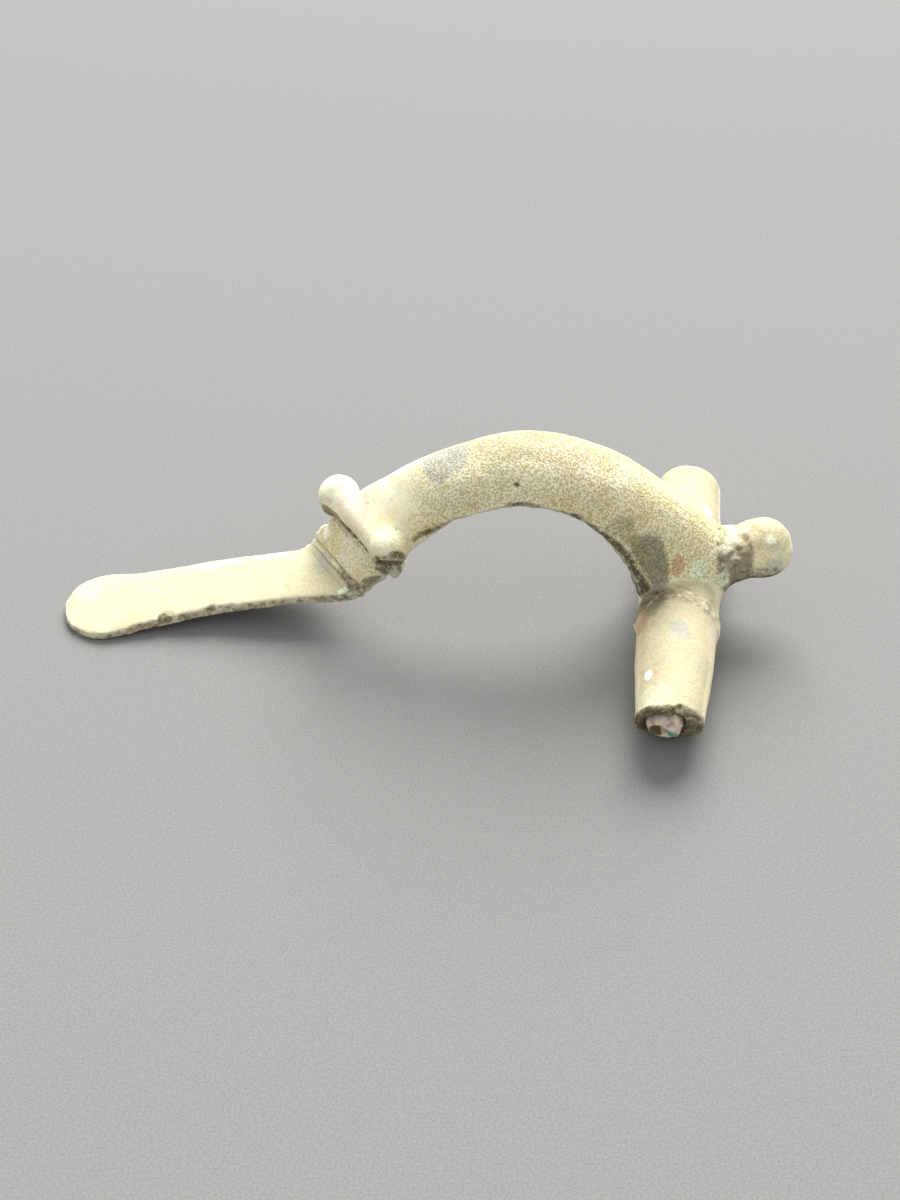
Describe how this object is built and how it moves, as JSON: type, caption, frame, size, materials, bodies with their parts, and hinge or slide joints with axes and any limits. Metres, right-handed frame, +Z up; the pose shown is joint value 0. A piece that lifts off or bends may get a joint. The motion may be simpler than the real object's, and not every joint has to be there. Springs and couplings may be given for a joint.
{
  "type": "fibula brooch",
  "caption": "Small cast bronze bow brooch with an arched bow, flat foot, knobbed crosspiece and tubular crossbar; its pin is lost.",
  "frame": {"origin": "middle of the brooch on the surface that it lies on, under the bow", "axes": "+X from the foot to the head knob, +Y along the crossbar to its whole end, +Z up"},
  "size_m": [0.057, 0.0302, 0.0166],
  "materials": {
    "patinated_bronze": "pale olive and cream corroded patina, matt and granular",
    "corroded_axis": "crumbly pinkish-buff corrosion with a green streak"
  },
  "bodies": {
    "root": {"brooch_body": "patinated_bronze", "hinge_axis_stub": "corroded_axis"}
  },
  "joints": []
}
